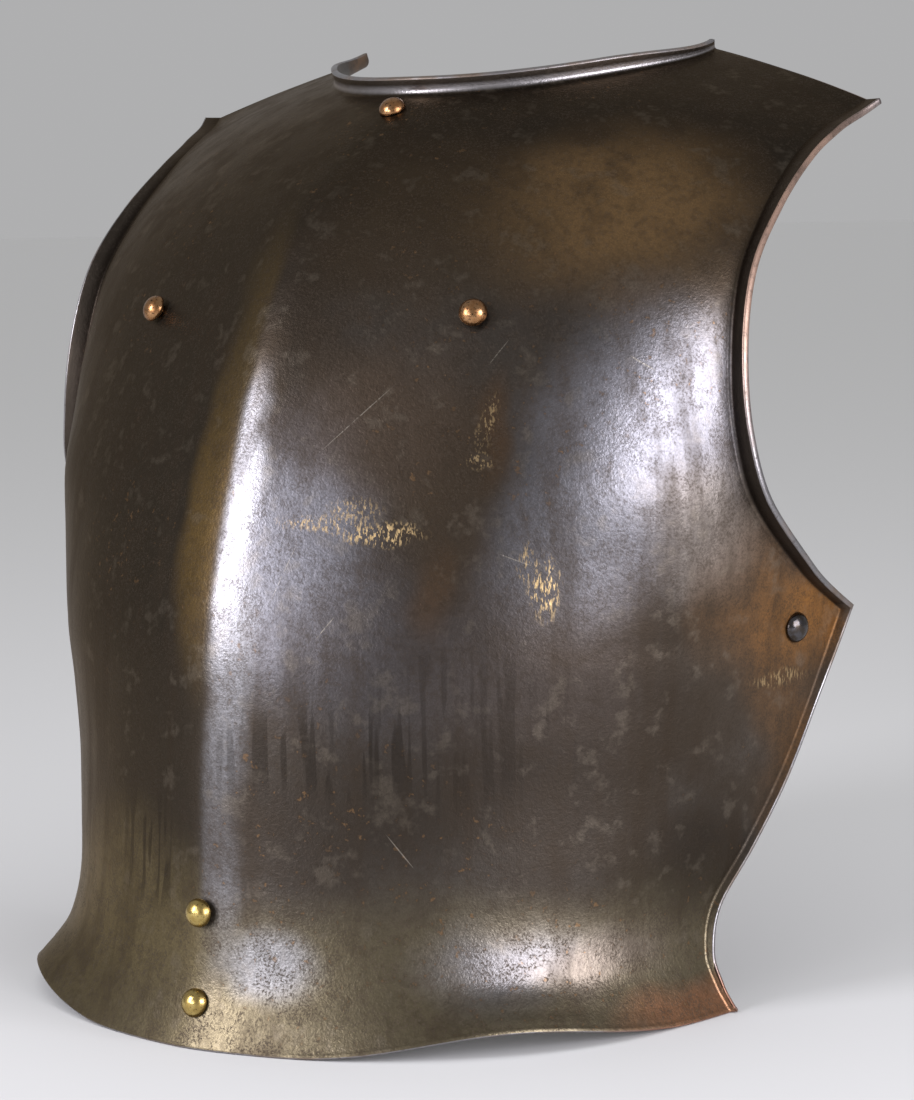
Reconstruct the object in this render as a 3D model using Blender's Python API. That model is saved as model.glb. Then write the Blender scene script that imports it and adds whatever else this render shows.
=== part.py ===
"""Breastplate of a heavy cavalry cuirass, with its studs and rivets.

Metres, +Z up. The plate faces -Y, and +X is the wearer's left. It stands on its flared lower rim at Z = 0.
"""
import math
from collections import namedtuple
from functools import lru_cache

import bmesh
import bpy
import numpy as np
from mathutils import Vector
from mathutils.bvhtree import BVHTree

# Driving sizes of the plate
HEIGHT = 0.420  # rim to the tops of the shoulders, without the neck flange
HALF_WIDTH = 0.190  # centre to the fold at the armpit corner
DEPTH = 0.298  # front of the rim to the back of the shoulders
FRONT = -0.1456  # where the front of the rim lies
WALL = 0.0030
RIDGE_ROUNDING = 0.012  # how far from the centre the ridge is still round
RIM_ARCH = 0.010  # how far the rim lifts off the ground between its front and its corners
ARCH_START, ARCH_END = 0.14, 0.94  # the arched stretch, as shares of the rim from the centre to a corner

# Turned flanges: their width, how far they turn from the plate in degrees, and the bend radius at mid wall
NECK_FLANGE_WIDTH = 0.0050
NECK_FLANGE_TURN = 86.0
NECK_BEND_RADIUS = 0.0045
NECK_END_TAPER = 0.6  # share of the neck flange that is left at its two ends
ARM_FLANGE_WIDTH = 0.0080
ARM_FLANGE_TURN = 88.0
SHOULDER_FLANGE_TURN = 24.0  # the arm flange opens out towards the shoulder
ARMPIT_FLANGE_WIDTH = 0.0040  # where the arm and side flanges meet
SIDE_FLANGE_WIDTH = 0.0030
RIM_FLANGE_WIDTH = 0.0015  # where the side flange runs out at the rim
SIDE_FLANGE_TURN = 60.0
BEND_RADIUS = 0.0035

NECK_HALF_WIDTH = 0.100  # at the back of the neck opening
NECK_SQUARENESS = 0.78  # 1 is an elliptical neck opening, and less is squarer

# Studs and rivets
STUD_HEAD_DIAMETER = 0.0125
STUD_HEAD_HEIGHT = 0.0052
RIVET_HEAD_DIAMETER = 0.0136
RIVET_HEAD_HEIGHT = 0.0044
SHANK_DIAMETER = 0.0050
TAIL_DIAMETER = 0.0086
TAIL_HEIGHT = 0.0020
STUD_STANDOFF = 0.0022  # bare collar under the heads of the chest and waist studs
COLLAR_SHARE = 1.3  # that collar's diameter, as a share of the shank's
CLEARANCE = 0.0003  # between a stud and the plate all round

# Places of the studs: down from the folds beside them, out from the centre and up from the rim
NECK_STUD_DROP = 0.0057  # below the fold of the neck flange
CHEST_STUD_OUT = 0.0840
CHEST_STUD_UP = 0.3045
SIDE_RIVET_INSET = 0.0300  # from the fold at the side
SIDE_RIVET_DROP = 0.0038  # below the armpit corner
WAIST_STUD_UP = 0.0560
SKIRT_STUD_UP = 0.0180

# Mesh steps
STEPS_ACROSS = 17
STEPS_PER_SECTION = 2
NECK_STEPS = 10
BEND_STEPS = 3
STUD_SIDES = 16

# Sections of the plate from the rim up, each from the centre line to the fold at the side or the armhole.
# centre_back and edge_back are shares of DEPTH, centre_up, edge_up and crown of HEIGHT, and edge_out of
# HALF_WIDTH. keel is how far the plate falls back beside the ridge, and side how far its edge has turned to
# the rear, both in degrees seen from above. crown lifts the middle of a section, and full swells it.
# Above the neck opening the centre of a section is only a guide, as the opening cuts it away.
Section = namedtuple("Section", "centre_back centre_up edge_out edge_back edge_up keel side crown full")
SECTIONS = (
    Section(0.000, 0.000, 0.905, 0.530, 0.000, 6, 78, 0.000, 1.26),
    Section(0.013, 0.025, 0.872, 0.528, 0.025, 8, 78, 0.000, 1.22),
    Section(0.030, 0.065, 0.840, 0.532, 0.060, 10, 78, 0.000, 1.18),
    Section(0.044, 0.130, 0.838, 0.555, 0.110, 12, 78, 0.000, 1.14),
    Section(0.054, 0.200, 0.885, 0.605, 0.170, 12, 77, 0.000, 1.12),
    Section(0.061, 0.270, 0.930, 0.655, 0.235, 12, 77, 0.000, 1.10),
    Section(0.067, 0.335, 0.970, 0.700, 0.310, 12, 78, 0.000, 1.10),
    Section(0.078, 0.405, 1.000, 0.770, 0.402, 12, 80, 0.000, 1.10),
    Section(0.103, 0.480, 0.990, 0.645, 0.455, 13, 77, 0.000, 1.08),
    Section(0.138, 0.560, 0.955, 0.550, 0.530, 16, 71, 0.000, 1.04),
    Section(0.178, 0.630, 0.928, 0.530, 0.602, 20, 65, 0.000, 1.00),
    Section(0.222, 0.700, 0.911, 0.540, 0.678, 25, 59, 0.002, 0.98),
    Section(0.277, 0.765, 0.899, 0.580, 0.757, 26, 53, 0.004, 0.95),
    Section(0.352, 0.830, 0.897, 0.662, 0.822, 23, 47, 0.007, 0.92),
    Section(0.465, 0.888, 0.900, 0.765, 0.876, 16, 38, 0.010, 0.90),
    Section(0.607, 0.947, 0.912, 0.840, 0.904, 8, 25, 0.011, 0.90),
    Section(0.800, 1.003, 0.932, 0.905, 0.922, 2, 8, 0.010, 0.90),
    Section(1.000, 1.045, 0.955, 0.945, 0.935, -2, -10, 0.009, 0.90),
)
ARMPIT = 7  # the section at the armpit corner
NECK = 15  # the section at the front of the neck opening
WAIST = 3  # the section up to which the arch of the rim is felt
TOP = len(SECTIONS) - 1
CENTRE_REACH = 0.38  # lengths of a section's two curve handles, as shares of its chord and of its fullness
EDGE_REACH = 0.345
CORNER_SPAN = 1.5  # sections each side of the armpit over which the plate's body passes the corner smoothly
CORNER_GATHER = 5  # how closely the extra length at the corner gathers at the edge

Sample = namedtuple("Sample", "point normal")


def eased(share):
    """0 to 1 with a level start and end."""
    share = min(max(share, 0.0), 1.0)
    return share * share * (3 - 2 * share)


def hermite(start, end, slope_in, slope_out, t):
    """Smooth curve from start to end with these slopes over its length."""
    s = 1 - t
    ends = start * (1 + 2 * t) * s * s + end * t * t * (3 - 2 * t)
    return ends + slope_in * t * s * s - slope_out * t * t * s


def through(values, at):
    """Value at a station along evenly spaced values, on a smooth curve through them all."""
    last = len(values) - 1
    i = min(int(at), last - 1)
    t = at - i
    before = values[i - 1] if i > 0 else 2 * values[i] - values[i + 1]
    after = values[i + 2] if i + 2 <= last else 2 * values[i + 1] - values[i]
    return hermite(values[i], values[i + 1], (values[i + 1] - before) / 2, (after - values[i]) / 2, t)


def column(name, station):
    """A column of the table at a station. The edge has a corner at the armpit, and the rest is smooth."""
    values = [getattr(section, name) for section in SECTIONS]
    if not name.startswith("edge"):
        return through(values, station)
    if station <= ARMPIT:
        return through(values[: ARMPIT + 1], station)
    return through(values[ARMPIT:], station - ARMPIT)


def body_column(name, station):
    """An edge column carried smoothly past the armpit's corner, for the body of the sections there."""
    low, high = ARMPIT - CORNER_SPAN, ARMPIT + CORNER_SPAN
    if not low < station < high:
        return column(name, station)
    start, end = column(name, low), column(name, high)
    step = 0.01
    slope_in = (start - column(name, low - step)) / step
    slope_out = (column(name, high + step) - end) / step
    span = high - low
    return hermite(start, end, slope_in * span, slope_out * span, (station - low) / span)


@lru_cache(maxsize=None)
def section_curve(station):
    """Control points of a section seen from above, its heights and keel, and its reach out to the corner."""
    edge_names = ("edge_out", "edge_back", "edge_up")
    sizes = np.array([HALF_WIDTH, DEPTH, HEIGHT])
    body = np.array([body_column(name, station) for name in edge_names]) * sizes
    corner = np.array([column(name, station) for name in edge_names]) * sizes - body
    centre = np.array([0.0, FRONT + column("centre_back", station) * DEPTH])
    edge = body[:2] + [0.0, FRONT]
    chord = np.linalg.norm(edge - centre)
    keel = math.radians(column("keel", station))
    side = math.radians(column("side", station))
    reach = chord * column("full", station)
    handle = centre + CENTRE_REACH * reach * np.array([math.cos(keel), math.sin(keel)])
    edge_handle = edge - EDGE_REACH * reach * np.array([math.cos(side), math.sin(side)])
    heights = (column("centre_up", station) * HEIGHT, body[2], column("crown", station) * HEIGHT)
    arch = RIM_ARCH * eased(1 - station / WAIST)
    return (centre, handle, edge_handle, edge), heights, arch, math.tan(keel), corner


def on_section(curve, t):
    """Point at share t of a section, from the centre line at 0 to the edge at 1."""
    (a, b, c, d), (centre_up, edge_up, crown), arch, fall, corner = curve
    s = 1 - t
    x, y = a * s**3 + 3 * b * s * s * t + 3 * c * s * t * t + d * t**3
    y += fall * (math.hypot(x, RIDGE_ROUNDING) - RIDGE_ROUNDING - x) * s * s
    along = min(max((t - ARCH_START) / (ARCH_END - ARCH_START), 0.0), 1.0)
    z = centre_up * s + edge_up * t + 4 * crown * s * t + arch * math.sin(math.pi * along) ** 2
    return np.array([x, y, z]) + corner * t**CORNER_GATHER


def plate_point(station, t):
    return on_section(section_curve(station), t)


def plate_normal(station, t):
    """Outward normal of the plate's middle surface."""
    step = 0.02
    across = plate_point(station, min(t + step, 1)) - plate_point(station, max(t - step, 0))
    if t < step:
        across = np.array([1.0, 0.0, 0.0])
    up = plate_point(min(station + step, TOP), t) - plate_point(max(station - step, 0), t)
    normal = np.cross(across, up)
    return normal / np.linalg.norm(normal)


def share_at_out(station, out):
    """Share of a section at which it is this far from the centre."""
    curve = section_curve(station)
    low, high = 0.0, 1.0
    for _ in range(40):
        middle = (low + high) / 2
        if on_section(curve, middle)[0] < out:
            low = middle
        else:
            high = middle
    return (low + high) / 2


def share_at_inset(station, inset):
    """Share of a section at which it is this far from the fold at its edge."""
    edge = plate_point(station, 1)
    low, high = 0.0, 1.0
    for _ in range(40):
        middle = (low + high) / 2
        if np.linalg.norm(edge - plate_point(station, middle)) > inset:
            low = middle
        else:
            high = middle
    return (low + high) / 2


def plate_sample(up, share_at, distance):
    """Middle point and normal of the plate at this height, on the share of a section that share_at gives."""
    low, high = 0.0, float(TOP)
    for _ in range(40):
        middle = (low + high) / 2
        if plate_point(middle, share_at(middle, distance))[2] < up:
            low = middle
        else:
            high = middle
    t = share_at(low, distance)
    return Sample(plate_point(low, t), plate_normal(low, t))


def rows():
    """Station and first share of each row of the mesh, from the rim to the shoulders."""
    for i in range(NECK * STEPS_PER_SECTION):
        yield i / STEPS_PER_SECTION, 0.0
    for k in range(NECK_STEPS + 1):
        angle = math.pi / 2 * k / NECK_STEPS
        station = NECK + (TOP - NECK) * (1 - math.cos(angle))
        out = NECK_HALF_WIDTH * math.sin(angle) ** NECK_SQUARENESS
        yield station, share_at_out(station, out) if k else 0.0


def level(sample):
    """A sample on the rim, with a level normal as long as keeps the wall's thickness."""
    flat = np.array([sample.normal[0], sample.normal[1], 0.0])
    return Sample(sample.point, flat / np.dot(flat, flat))


def plate_samples():
    """Rows of samples over half of the plate, without its flanges."""
    table = []
    for station, first in rows():
        shares = [first + (1 - first) * (j / STEPS_ACROSS) ** 1.12 for j in range(STEPS_ACROSS + 1)]
        table.append([Sample(plate_point(station, t), plate_normal(station, t)) for t in shares])
    table[0] = [level(sample) for sample in table[0]]
    return table


def outward(chain, i, corner=None):
    """Direction across a boundary, in the plate's surface and away from it, mitred at a corner."""
    normal = chain[i].normal / np.linalg.norm(chain[i].normal)
    before = chain[i].point - chain[max(i - 1, 0)].point
    after = chain[min(i + 1, len(chain) - 1)].point - chain[i].point

    def turned(tangent):
        direction = np.cross(tangent, normal)
        return direction / np.linalg.norm(direction)

    if i == corner:
        a, b = turned(before), turned(after)
        return (a + b) / (1 + np.dot(a, b))
    return turned(before + after)


def flange(sample, away, width, turn, radius=BEND_RADIUS):
    """Samples across a flange, round its bend and out to its edge. away leads out of the plate."""
    normal = sample.normal
    turn = math.radians(turn)
    for step in range(1, BEND_STEPS + 1):
        a = turn * step / BEND_STEPS
        point = sample.point + radius * (math.sin(a) * away + (1 - math.cos(a)) * normal)
        yield Sample(point, math.cos(a) * normal - math.sin(a) * away)
    run = math.cos(turn) * away + math.sin(turn) * normal
    yield Sample(point + width * run, math.cos(turn) * normal - math.sin(turn) * away)


def edge_flange_form(station):
    """Width and turn of the flange along the side and the armhole."""
    if station <= ARMPIT:
        width = SIDE_FLANGE_WIDTH
        width += (ARMPIT_FLANGE_WIDTH - SIDE_FLANGE_WIDTH) * eased(station - ARMPIT + 1)
        width += (RIM_FLANGE_WIDTH - SIDE_FLANGE_WIDTH) * eased(1 - station / WAIST)
        return width, SIDE_FLANGE_TURN
    grow = eased((station - ARMPIT) / 2)
    width = ARMPIT_FLANGE_WIDTH + (ARM_FLANGE_WIDTH - ARMPIT_FLANGE_WIDTH) * grow
    turn = SIDE_FLANGE_TURN + (ARM_FLANGE_TURN - SIDE_FLANGE_TURN) * grow
    turn += (SHOULDER_FLANGE_TURN - ARM_FLANGE_TURN) * eased((station - NECK + 4) / 4)
    return width, turn


def half_grid():
    """Rows of samples over half of the plate with its flanges, and how many neck samples start each row."""
    table = plate_samples()
    stations = [station for station, _ in rows()]
    edge = [row[-1] for row in table]
    neck_row = NECK * STEPS_PER_SECTION
    neck = [row[0] for row in table[neck_row:]]
    grid, starts = [], []
    for i, row in enumerate(table):
        width, turn = edge_flange_form(stations[i])
        away = outward(edge, i, corner=ARMPIT * STEPS_PER_SECTION)
        outer = list(flange(row[-1], away, width, turn))
        inner = []
        if i >= neck_row:
            k = i - neck_row
            inward = -outward(neck, k) if k else np.cross([1.0, 0.0, 0.0], neck[0].normal) * -1
            left = 1 - (1 - NECK_END_TAPER) * eased(2 * k / NECK_STEPS - 1)
            width, radius = NECK_FLANGE_WIDTH * left, NECK_BEND_RADIUS * left
            inner = list(flange(row[0], inward, width, NECK_FLANGE_TURN, radius))
            inner.reverse()
        grid.append(inner + row + outer)
        starts.append(len(inner))
    return grid, starts


def add_shell(bm, grid, starts, sign):
    """Walls of one half of the plate, open along the centre line. sign is 1 for the wearer's left half."""
    faces = []
    layers = []
    for side in (0.5, -0.5):
        layer = []
        for i, row in enumerate(grid):
            points = [sample.point + sample.normal * side * WALL for sample in row]
            layer.append([bm.verts.new((sign * p[0], p[1], p[2])) for p in points])
        layers.append(layer)
    outer, inner = layers

    def quad(a, b, c, d):
        faces.append((a, b, c, d) if sign > 0 else (d, c, b, a))

    last = len(grid) - 1
    for i in range(last):
        shift = starts[i + 1] - starts[i]
        for j in range(len(grid[i]) - 1):
            k = j + shift
            quad(outer[i][j], outer[i][j + 1], outer[i + 1][k + 1], outer[i + 1][k])
            quad(inner[i + 1][k], inner[i + 1][k + 1], inner[i][j + 1], inner[i][j])
        quad(outer[i][-1], inner[i][-1], inner[i + 1][-1], outer[i + 1][-1])
        if starts[i]:
            quad(outer[i + 1][0], inner[i + 1][0], inner[i][0], outer[i][0])
    for j in range(len(grid[0]) - 1):
        quad(inner[0][j], inner[0][j + 1], outer[0][j + 1], outer[0][j])
    for j in range(len(grid[last]) - 1):
        quad(outer[last][j], outer[last][j + 1], inner[last][j + 1], inner[last][j])
    for face in faces:
        bm.faces.new(face)


def material(name, colour, roughness, metallic=1.0):
    made = bpy.data.materials.new(name)
    made.use_nodes = True
    shader = made.node_tree.nodes["Principled BSDF"]
    shader.inputs["Base Color"].default_value = (*colour, 1.0)
    shader.inputs["Roughness"].default_value = roughness
    shader.inputs["Metallic"].default_value = metallic
    return made


def new_object(name, mesh, finish=None):
    obj = bpy.data.objects.new(name, mesh)
    bpy.context.scene.collection.objects.link(obj)
    if finish:
        mesh.materials.append(finish)
    return obj


def make_plate(finish):
    """The forged plate: two halves joined along the ridge."""
    bm = bmesh.new()
    grid, starts = half_grid()
    add_shell(bm, grid, starts, 1)
    add_shell(bm, grid, starts, -1)
    bmesh.ops.remove_doubles(bm, verts=bm.verts, dist=1e-6)
    mesh = bpy.data.meshes.new("breastplate")
    bm.to_mesh(mesh)
    bm.free()
    mesh.shade_smooth()
    mesh.set_sharp_from_angle(angle=math.radians(40))
    return new_object("breastplate", mesh, finish)


def turned(name, profile, finish=None):
    """Solid of revolution about Z from (radius, height) pairs that start and end on the axis."""
    bm = bmesh.new()
    rings = []
    for radius, height in profile:
        if radius == 0:
            rings.append([bm.verts.new((0, 0, height))])
            continue
        angles = [2 * math.pi * k / STUD_SIDES for k in range(STUD_SIDES)]
        rings.append([bm.verts.new((radius * math.cos(a), radius * math.sin(a), height)) for a in angles])
    for lower, upper in zip(rings, rings[1:]):
        for k in range(STUD_SIDES):
            m = (k + 1) % STUD_SIDES
            if len(lower) == 1:
                bm.faces.new((lower[0], upper[m], upper[k]))
            elif len(upper) == 1:
                bm.faces.new((lower[k], lower[m], upper[0]))
            else:
                bm.faces.new((lower[k], lower[m], upper[m], upper[k]))
    mesh = bpy.data.meshes.new(name)
    bm.to_mesh(mesh)
    bm.free()
    mesh.shade_smooth()
    mesh.set_sharp_from_angle(angle=math.radians(40))
    return new_object(name, mesh, finish)


def face_heights(plate, sample, radius):
    """Heights of the plate's faces round a sample, from mid wall: highest outside, lowest inside."""
    mesh = plate.data
    tree = BVHTree.FromPolygons([v.co for v in mesh.vertices], [p.vertices[:] for p in mesh.polygons])
    normal = Vector(sample.normal)
    turn = normal.to_track_quat("Z", "Y")
    reach = 3 * WALL
    outside, inside = [], []
    for share in (0, 0.5, 1):
        for k in range(STUD_SIDES):
            angle = 2 * math.pi * k / STUD_SIDES
            beside = turn @ Vector((math.cos(angle), math.sin(angle), 0)) * radius * share
            start = Vector(sample.point) + beside
            outside.append(reach - tree.ray_cast(start + reach * normal, -normal)[3])
            inside.append(tree.ray_cast(start - reach * normal, normal)[3] - reach)
    return max(outside), min(inside)


def stud_profile(head_diameter, head_height, standoff, outside, inside):
    """Profile of a stud, inside to outside. Height 0 is the middle of the plate's wall."""
    shank = SHANK_DIAMETER / 2
    tail = TAIL_DIAMETER / 2
    head = head_diameter / 2
    seat = outside + CLEARANCE
    shoulder = inside - CLEARANCE
    tail_end = shoulder - TAIL_HEIGHT
    base = seat + standoff
    profile = [(0, tail_end), (0.7 * tail, tail_end), (tail, shoulder - 0.5 * TAIL_HEIGHT), (tail, shoulder)]
    profile += [(shank, shoulder), (shank, seat)]
    if standoff:
        profile += [(COLLAR_SHARE * shank, seat), (COLLAR_SHARE * shank, base)]
    profile.append((0.97 * head, base))
    steps = 5
    for k in range(steps):
        angle = math.radians(8 + 82 * k / steps)
        profile.append((head * math.cos(angle), base + head_height * math.sin(angle)))
    profile.append((0, base + head_height))
    return profile


def place(obj, sample):
    """Puts an object's origin on the plate's middle surface, with its Z along the normal."""
    obj.location = Vector(sample.point)
    obj.rotation_euler = Vector(sample.normal).to_track_quat("Z", "Y").to_euler()


def mirrored(sample):
    flip = np.array([-1.0, 1.0, 1.0])
    return Sample(sample.point * flip, sample.normal * flip)


def make_stud(name, sample, plate, finish, head_diameter, head_height, standoff):
    """A stud and the hole that it passes through."""
    seat_diameter = COLLAR_SHARE * SHANK_DIAMETER if standoff else head_diameter
    outside, _ = face_heights(plate, sample, seat_diameter / 2)
    _, inside = face_heights(plate, sample, TAIL_DIAMETER / 2)
    stud = turned(name, stud_profile(head_diameter, head_height, standoff, outside, inside), finish)
    place(stud, sample)
    radius = SHANK_DIAMETER / 2 + CLEARANCE
    reach = 2 * WALL
    cutter = turned(name + "_hole", [(0, -reach), (radius, -reach), (radius, reach), (0, reach)])
    place(cutter, sample)
    cutter.hide_render = True
    cutter.display_type = "WIRE"
    cut = plate.modifiers.new(name + "_hole", "BOOLEAN")
    cut.operation = "DIFFERENCE"
    cut.solver = "EXACT"
    cut.object = cutter


def build():
    for obj in list(bpy.data.objects):
        bpy.data.objects.remove(obj)
    steel = material("patinated_steel", (0.12, 0.10, 0.085), 0.38)
    dark_steel = material("dark_steel", (0.10, 0.095, 0.10), 0.32)
    copper_brass = material("coppery_brass", (0.50, 0.27, 0.12), 0.30)
    yellow_brass = material("yellow_brass", (0.60, 0.44, 0.16), 0.32)
    plate = make_plate(steel)

    chest = plate_sample(CHEST_STUD_UP, share_at_out, CHEST_STUD_OUT)
    side = plate_sample(plate_point(ARMPIT, 1)[2] - SIDE_RIVET_DROP, share_at_inset, SIDE_RIVET_INSET)
    neck = plate_sample(plate_point(NECK, 0)[2] - NECK_STUD_DROP, share_at_out, 0)
    stud = (STUD_HEAD_DIAMETER, STUD_HEAD_HEIGHT)
    rivet = (RIVET_HEAD_DIAMETER, RIVET_HEAD_HEIGHT)
    make_stud("neck_stud", neck, plate, copper_brass, *stud, 0)
    make_stud("chest_stud_left", chest, plate, copper_brass, *stud, STUD_STANDOFF)
    make_stud("chest_stud_right", mirrored(chest), plate, copper_brass, *stud, STUD_STANDOFF)
    make_stud("side_rivet_left", side, plate, dark_steel, *rivet, 0)
    make_stud("side_rivet_right", mirrored(side), plate, dark_steel, *rivet, 0)
    waist = plate_sample(WAIST_STUD_UP, share_at_out, 0)
    make_stud("waist_stud", waist, plate, yellow_brass, *stud, STUD_STANDOFF)
    make_stud("skirt_stud", plate_sample(SKIRT_STUD_UP, share_at_out, 0), plate, yellow_brass, *stud, 0)


build()
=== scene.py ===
"""Looks of the cavalry breastplate: fine surface, patina, studs, floor, light and camera.

Metres, +Z up. The plate faces -Y, and +X is the wearer's left.
"""
import math
from collections import namedtuple
from functools import reduce

import bmesh
import bpy
import numpy as np
from mathutils import Matrix, Vector, noise


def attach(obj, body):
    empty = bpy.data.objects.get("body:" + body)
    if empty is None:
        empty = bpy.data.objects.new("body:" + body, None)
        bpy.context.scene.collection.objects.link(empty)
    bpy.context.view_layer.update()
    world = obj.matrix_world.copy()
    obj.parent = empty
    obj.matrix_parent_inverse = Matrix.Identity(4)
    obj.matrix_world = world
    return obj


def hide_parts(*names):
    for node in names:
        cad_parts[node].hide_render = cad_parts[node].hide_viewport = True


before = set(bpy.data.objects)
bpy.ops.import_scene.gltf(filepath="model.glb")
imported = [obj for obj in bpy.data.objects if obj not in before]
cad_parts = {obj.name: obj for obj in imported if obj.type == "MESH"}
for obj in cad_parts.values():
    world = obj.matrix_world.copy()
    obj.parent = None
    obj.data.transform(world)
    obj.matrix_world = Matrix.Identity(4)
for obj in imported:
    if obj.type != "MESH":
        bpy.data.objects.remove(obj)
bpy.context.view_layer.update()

# Sizes of the plate, the same as in its CAD model
HEIGHT, HALF_WIDTH, DEPTH, FRONT, WALL = 0.420, 0.190, 0.298, -0.1456, 0.0030
RIDGE_ROUNDING, RIM_ARCH, ARCH_START, ARCH_END = 0.012, 0.010, 0.14, 0.94
NECK_FLANGE_WIDTH, NECK_FLANGE_TURN, NECK_BEND_RADIUS, NECK_END_TAPER = 0.0050, 86.0, 0.0045, 0.6
ARM_FLANGE_WIDTH, ARM_FLANGE_TURN, SHOULDER_FLANGE_TURN = 0.0080, 88.0, 24.0
ARMPIT_FLANGE_WIDTH, SIDE_FLANGE_WIDTH, RIM_FLANGE_WIDTH, SIDE_FLANGE_TURN = 0.0040, 0.0030, 0.0015, 60.0
BEND_RADIUS, NECK_HALF_WIDTH, NECK_SQUARENESS = 0.0035, 0.100, 0.78
STUD_HEAD, RIVET_HEAD = (0.0125, 0.0052), (0.0136, 0.0044)
SHANK_DIAMETER, TAIL_DIAMETER, TAIL_HEIGHT = 0.0050, 0.0086, 0.0020
STUD_STANDOFF, COLLAR_SHARE, CLEARANCE = 0.0022, 1.3, 0.0003
NECK_STUD_DROP, CHEST_STUD_OUT, CHEST_STUD_UP = 0.0057, 0.0840, 0.3045
SIDE_RIVET_INSET, SIDE_RIVET_DROP, WAIST_STUD_UP, SKIRT_STUD_UP = 0.0300, 0.0038, 0.0560, 0.0180

# Sections of the plate from the rim up, as shares of its sizes, with angles in degrees
Section = namedtuple("Section", "centre_back centre_up edge_out edge_back edge_up keel side crown full")
SECTIONS = (
    Section(0.000, 0.000, 0.905, 0.530, 0.000, 6, 78, 0.000, 1.26),
    Section(0.013, 0.025, 0.872, 0.528, 0.025, 8, 78, 0.000, 1.22),
    Section(0.030, 0.065, 0.840, 0.532, 0.060, 10, 78, 0.000, 1.18),
    Section(0.044, 0.130, 0.838, 0.555, 0.110, 12, 78, 0.000, 1.14),
    Section(0.054, 0.200, 0.885, 0.605, 0.170, 12, 77, 0.000, 1.12),
    Section(0.061, 0.270, 0.930, 0.655, 0.235, 12, 77, 0.000, 1.10),
    Section(0.067, 0.335, 0.970, 0.700, 0.310, 12, 78, 0.000, 1.10),
    Section(0.078, 0.405, 1.000, 0.770, 0.402, 12, 80, 0.000, 1.10),
    Section(0.103, 0.480, 0.990, 0.645, 0.455, 13, 77, 0.000, 1.08),
    Section(0.138, 0.560, 0.955, 0.550, 0.530, 16, 71, 0.000, 1.04),
    Section(0.178, 0.630, 0.928, 0.530, 0.602, 20, 65, 0.000, 1.00),
    Section(0.222, 0.700, 0.911, 0.540, 0.678, 25, 59, 0.002, 0.98),
    Section(0.277, 0.765, 0.899, 0.580, 0.757, 26, 53, 0.004, 0.95),
    Section(0.352, 0.830, 0.897, 0.662, 0.822, 23, 47, 0.007, 0.92),
    Section(0.465, 0.888, 0.900, 0.765, 0.876, 16, 38, 0.010, 0.90),
    Section(0.607, 0.947, 0.912, 0.840, 0.904, 8, 25, 0.011, 0.90),
    Section(0.800, 1.003, 0.932, 0.905, 0.922, 2, 8, 0.010, 0.90),
    Section(1.000, 1.045, 0.955, 0.945, 0.935, -2, -10, 0.009, 0.90),
)
ARMPIT, NECK, WAIST, TOP = 7, 15, 3, len(SECTIONS) - 1
CENTRE_REACH, EDGE_REACH, CORNER_SPAN, CORNER_GATHER = 0.38, 0.345, 1.5, 5

# Fine mesh
STEPS_ACROSS, STEPS_PER_SECTION, NECK_STEPS, BEND_STEPS, FLANGE_STEPS, EDGE_STEPS = 64, 8, 36, 8, 3, 6
EDGE_ROUNDING, EDGE_SQUARENESS = 0.0008, 0.6
COLUMN_SPACING = 1.12  # above 1, so that columns lie closer near the ridge
STUD_SIDES, CROWN_STEPS, TAIL_STEPS = 64, 16, 6
STUD_SOFTNESS, STUD_UNEVENNESS = 0.0003, 0.014
SLOPE_STEP, CENTRE_RUN = 0.02, 0.15  # for reading slopes: a share of a section, and its width near the ridge
SEARCH_STEPS, MERGE_DISTANCE = 36, 2e-6
HAMMER_MARKS = ((11, 0.00055, (3, 1, 7)), (34, 0.00013, (9, 4, 2)))  # fineness, depth and offset in the noise

# Softboxes: name, azimuth, elevation, width and height, and watts
SOFTBOXES = (
    ("softbox_front", -25, 21, (0.50, 0.95), 31),
    ("softbox_low", -3, 9, (0.50, 0.45), 6),
    ("softbox_side", 79, 14, (1.25, 0.95), 38),
)
SOFTBOX_COLOUR, SOFTBOX_DISTANCE, SOFTBOX_TARGET = (0.94, 0.93, 1.0), 1.9, (0, 0, 0.21)
OVERHEAD_STRENGTH, OVERHEAD_SPREAD, OVERHEAD_TIP = 1.2, 80, (12, 8, 0)
ROOM_TONE, BACKDROP_TONE = (0.38, 0.38, 0.385, 1.0), (0.43, 0.43, 0.435, 1.0)
FLOOR_TONE, FLOOR_RADIUS = (0.56, 0.56, 0.56), 14
CAMERA_PLACE, CAMERA_HEADING = (0.8229, -1.1882, 0.3748), (-0.5477, 0.8367, 0)
CAMERA_PITCH, CAMERA_ROLL, CAMERA_LENS = 7.10, -1.2, 105.08


# Form of the plate


def eased(share):
    share = min(max(share, 0.0), 1.0)
    return share * share * (3 - 2 * share)


def hermite(start, end, slope_in, slope_out, t):
    s = 1 - t
    blended = start * (1 + 2 * t) * s * s + slope_in * t * s * s + end * t * t * (3 - 2 * t)
    return blended - slope_out * t * t * s


def through(values, at):
    """Value at a station along evenly spaced values, on a smooth curve through them all."""
    last = len(values) - 1
    i = min(int(at), last - 1)
    t = at - i
    before = values[i - 1] if i > 0 else 2 * values[i] - values[i + 1]
    after = values[i + 2] if i + 2 <= last else 2 * values[i + 1] - values[i]
    return hermite(values[i], values[i + 1], (values[i + 1] - before) / 2, (after - values[i]) / 2, t)


def column(name, station):
    values = [getattr(section, name) for section in SECTIONS]
    if not name.startswith("edge"):
        return through(values, station)
    if station <= ARMPIT:
        return through(values[: ARMPIT + 1], station)
    return through(values[ARMPIT:], station - ARMPIT)


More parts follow.
